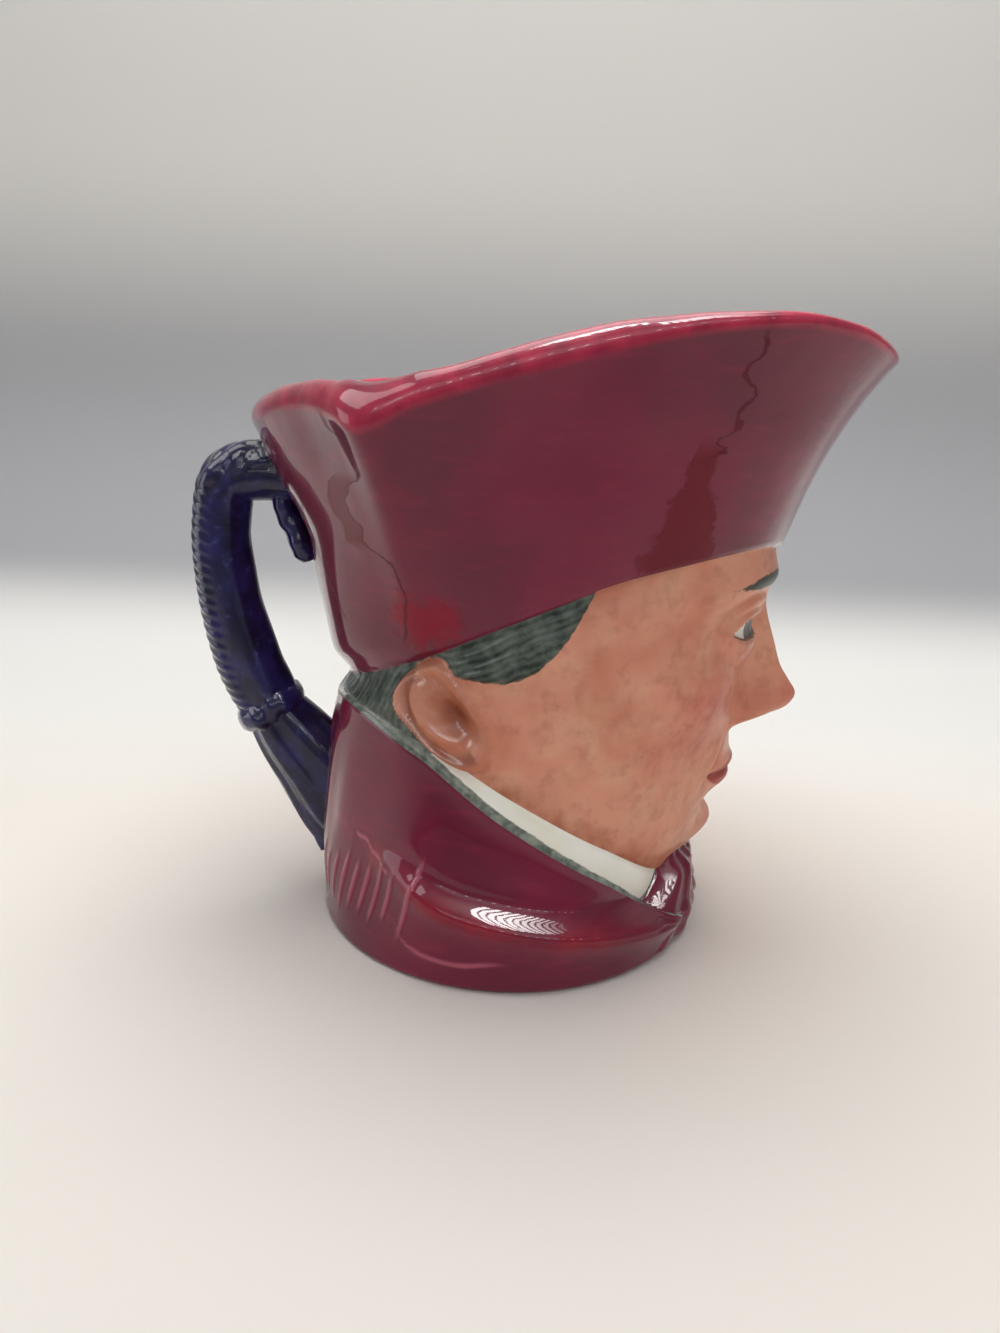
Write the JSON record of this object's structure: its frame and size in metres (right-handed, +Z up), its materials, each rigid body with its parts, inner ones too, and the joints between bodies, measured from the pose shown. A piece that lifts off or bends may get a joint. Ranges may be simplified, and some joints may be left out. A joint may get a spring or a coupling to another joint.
{
  "type": "toby jug",
  "caption": "Glazed ceramic character jug: a man's head in a flared four-cornered cap that is the mouth, clerical collar, robe base and a rope handle.",
  "frame": {"origin": "centre of the underside, on the surface that the jug stands on", "axes": "+Z up, -Y the way the face looks, +Y towards the handle, +X across the face"},
  "size_m": [0.1314, 0.184, 0.1662],
  "materials": {
    "glaze": "gloss"
  },
  "bodies": {
    "root": {"jug": "glaze"}
  },
  "joints": []
}
